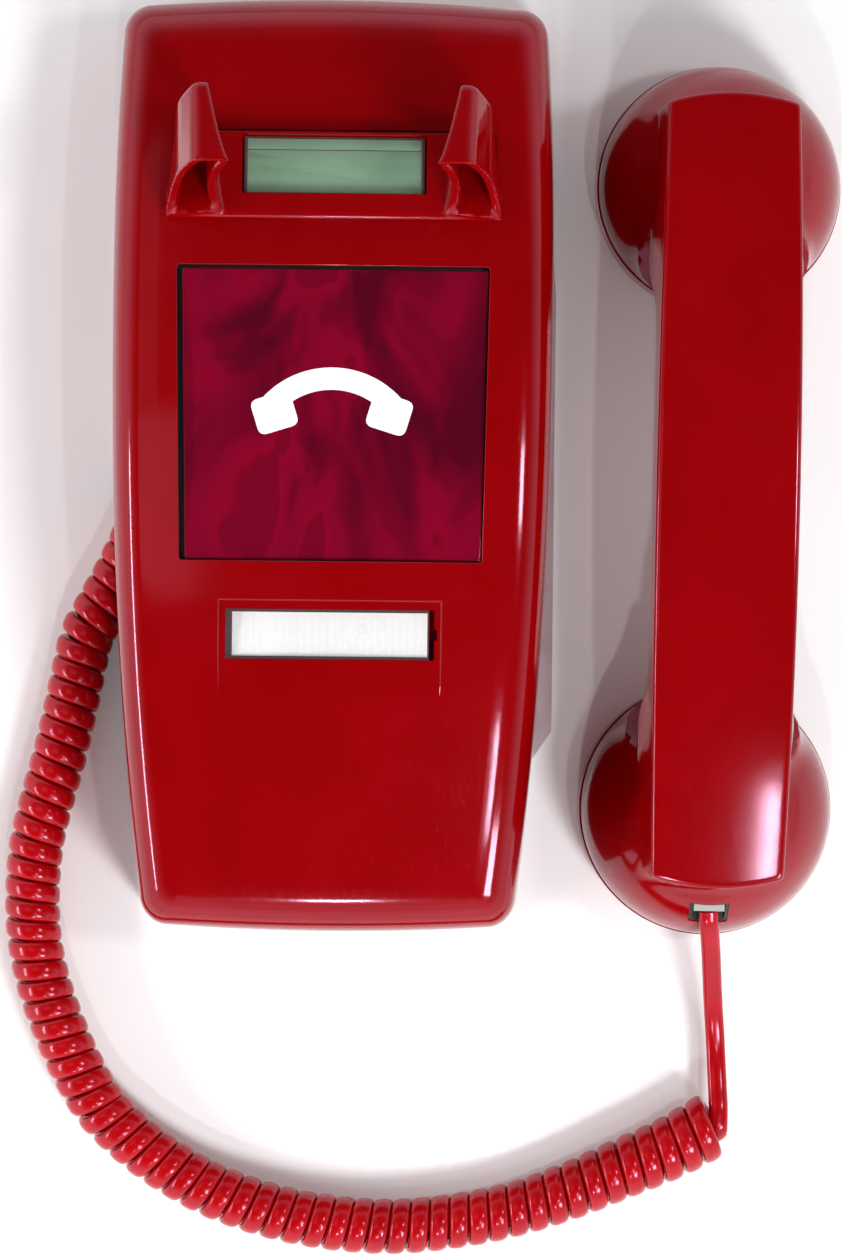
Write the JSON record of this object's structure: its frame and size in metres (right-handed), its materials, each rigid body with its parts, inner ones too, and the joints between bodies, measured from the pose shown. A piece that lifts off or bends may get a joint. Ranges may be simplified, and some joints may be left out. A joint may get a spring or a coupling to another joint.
{
  "type": "wall phone",
  "caption": "Compact wall telephone with a tapered housing, forked hook cradle, blank front plate, corded handset and curly cord.",
  "frame": {"origin": "centre of the back face that stands against the wall", "axes": "+X to the right, +Y up the wall, +Z out of the wall through the front; the phone lies on its back with the handset face down beside it"},
  "size_m": [0.2097, 0.3155, 0.094],
  "materials": {
    "red_abs": "gloss",
    "chassis_steel": "satin",
    "plated_steel": "satin",
    "spring_steel": "satin",
    "brass": "satin",
    "gong_brass": "polished",
    "grey_card": "matte",
    "white_card": "matte",
    "clear_plastic": "gloss",
    "clear_plug": "gloss",
    "smoked_red_acrylic": "gloss",
    "white_vinyl": "satin",
    "black_plastic": "satin",
    "ivory_plastic": "satin",
    "circuit_board": "satin",
    "lacquered_iron": "satin",
    "amber_film": "gloss",
    "wound_copper": "satin",
    "wire_insulation": "satin",
    "receiver_alloy": "satin",
    "transmitter_plastic": "matte",
    "red_cord": "gloss"
  },
  "bodies": {
    "base": {"chassis": "chassis_steel", "housing": "red_abs", "hook_bracket": "plated_steel", "hook_pivot_pin": "plated_steel", "hook_spring": "spring_steel", "hookswitch": "black_plastic", "blank_plate": "smoked_red_acrylic", "emergency_symbol": "white_vinyl", "plate_retainer": "black_plastic", "retainer_screws": "plated_steel", "lower_number_card": "white_card", "lower_card_window": "clear_plastic", "housing_screws": "plated_steel", "network_board": "circuit_board", "board_standoffs": "brass", "transformer": "lacquered_iron", "capacitors": "amber_film", "terminal_block": "ivory_plastic", "terminal_screws": "brass", "ringer_frame": "plated_steel", "ringer_coil": "wound_copper", "ringer_gong": "gong_brass", "gong_post": "plated_steel", "clapper_pin": "plated_steel", "volume_wheel_pin": "plated_steel", "line_plug": "clear_plug", "line_plug_bracket": "black_plastic", "base_handset_jack": "black_plastic", "wiring_leads": "wire_insulation", "base_cord_plug": "clear_plug", "base_cord_tail": "red_cord", "cord_coil": "red_cord"},
    "hook": {"cradle": "red_abs", "upper_number_card": "grey_card", "upper_card_window": "clear_plastic", "hook_lever": "plated_steel", "cradle_screws": "plated_steel"},
    "switch_plunger": {"switch_plunger": "ivory_plastic"},
    "clapper": {"clapper": "plated_steel"},
    "volume_wheel": {"volume_wheel": "ivory_plastic"},
    "handset": {"handset_shell": "red_abs", "receiver_unit": "receiver_alloy", "transmitter_unit": "transmitter_plastic", "transmitter_cup": "ivory_plastic", "handset_jack": "black_plastic", "handset_leads": "wire_insulation", "handset_cord_tail": "red_cord", "handset_cord_plug": "clear_plug"},
    "ear_cap": {"ear_cap": "red_abs"},
    "mouth_cap": {"mouth_cap": "red_abs"}
  },
  "joints": [
    {"name": "hook_hinge", "type": "hinge", "parent": "base", "child": "hook", "pos_m": [0, 0.068, 0.028], "axis": [1, 0, 0], "range_deg": [0, 3.8], "stiffness_Nm_per_rad": 0.38, "springref_deg": -3.78},
    {"name": "plunger_slide", "type": "slide", "parent": "base", "child": "switch_plunger", "axis": [0, -1, 0], "range_m": [0, 0.001]},
    {"name": "clapper_swing", "type": "hinge", "parent": "base", "child": "clapper", "pos_m": [-0.008, -0.054, 0.015], "axis": [0, 0, 1], "range_deg": [-7, 7], "stiffness_Nm_per_rad": 0.004},
    {"name": "volume_turn", "type": "hinge", "parent": "base", "child": "volume_wheel", "pos_m": [-0.014, -0.1039, 0.013], "axis": [0, 0, 1], "range_deg": [0, 150]},
    {"name": "handset_lift", "type": "slide", "parent": "base", "child": "handset", "axis": [0, 0, 1], "range_m": [0, 0.08]},
    {"name": "ear_cap_unscrew", "type": "hinge", "parent": "handset", "child": "ear_cap", "pos_m": [0.09686, 0.07189, 0.006], "axis": [0, 0, -1], "range_deg": [0, 540]},
    {"name": "mouth_cap_unscrew", "type": "hinge", "parent": "handset", "child": "mouth_cap", "pos_m": [0.09494, -0.08489, 0.006], "axis": [0, 0, -1], "range_deg": [0, 540]}
  ],
  "couplings": [
    {"joint": "plunger_slide", "follows": "hook_hinge", "m_per_rad": 0.01357}
  ]
}
